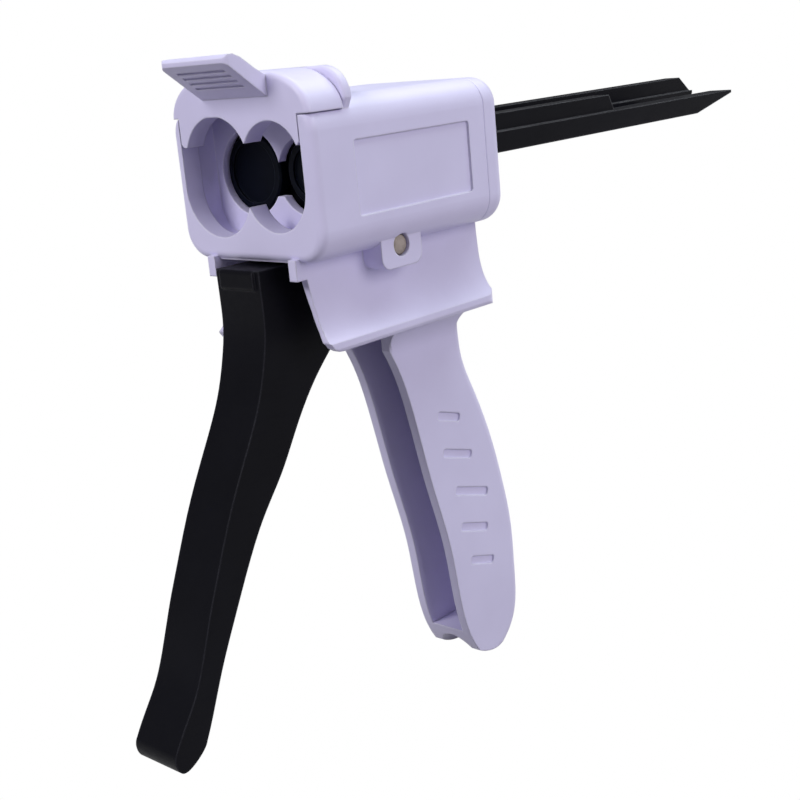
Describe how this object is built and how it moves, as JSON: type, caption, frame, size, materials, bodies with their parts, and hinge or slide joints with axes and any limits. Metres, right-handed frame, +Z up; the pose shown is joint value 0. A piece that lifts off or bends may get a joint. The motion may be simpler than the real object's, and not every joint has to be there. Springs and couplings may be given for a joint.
{
  "type": "dental dispensing tool",
  "caption": "Hand-held dispensing tool with a cartridge slot, a swing-up lock lever, a squeeze trigger and toothed rods that drive pistons into a two-barrel cartridge.",
  "frame": {"origin": "on the front plate's front face, midway across the housing and at the height of the racks' axis", "axes": "-Y points out of the front where the cartridge goes, +Y towards the racks' rear tips, +Z up towards the lock lever, +X to the left side of the tool as its user holds it"},
  "size_m": [0.05, 0.2696, 0.1792],
  "materials": {
    "white_moulding": "satin white moulding",
    "white_cap": "satin white moulding",
    "white_lever": "satin white moulding",
    "black_moulding": "fine-grained black moulding",
    "rack_black": "smooth black moulding",
    "piston_black": "smooth black moulding",
    "black_internal": "plain black moulding",
    "steel": "bright steel",
    "pin_steel": "dull steel pin"
  },
  "bodies": {
    "frame": {"body": "white_moulding", "rear_cap": "white_cap", "rear_cap_screws": "steel", "lock_lever_pin": "steel", "trigger_pin": "pin_steel", "guide_plate": "black_internal", "guide_plate_screws": "steel", "release_pin": "steel", "release_spring": "steel"},
    "plunger": {"left_rack": "rack_black", "right_rack": "rack_black", "rack_bridge": "rack_black", "rack_bridge_pins": "steel", "left_piston": "piston_black", "right_piston": "piston_black"},
    "trigger_group": {"trigger": "black_moulding", "trigger_spring": "steel", "drive_pawl_pin": "steel"},
    "pawl": {"drive_pawl": "black_internal", "drive_pawl_spring": "steel"},
    "lever": {"lock_lever": "white_lever"},
    "release": {"release_lever": "black_moulding"}
  },
  "joints": [
    {"name": "plunger_slide", "type": "slide", "parent": "frame", "child": "plunger", "axis": [0, -1, 0], "range_m": [0, 0.088]},
    {"name": "trigger_pull", "type": "hinge", "parent": "frame", "child": "trigger_group", "pos_m": [0, 0.0292, -0.0206], "axis": [1, 0, 0], "range_deg": [0, 30], "stiffness_Nm_per_rad": 0.5, "springref_deg": -11.46},
    {"name": "pawl_swing", "type": "hinge", "parent": "trigger_group", "child": "pawl", "pos_m": [0, 0.0341, -0.0123], "axis": [1, 0, 0], "range_deg": [-22, 2]},
    {"name": "lever_swing", "type": "hinge", "parent": "frame", "child": "lever", "pos_m": [0, 0.0166, 0.022], "axis": [-1, 0, 0], "range_deg": [0, 115]},
    {"name": "release_press", "type": "hinge", "parent": "frame", "child": "release", "pos_m": [0, 0.054, -0.011], "axis": [1, 0, 0], "range_deg": [0, 12], "stiffness_Nm_per_rad": 0.3, "springref_deg": -11.46}
  ],
  "couplings": [
    {"joint": "pawl_swing", "follows": "trigger_pull", "ratio": -0.72}
  ]
}
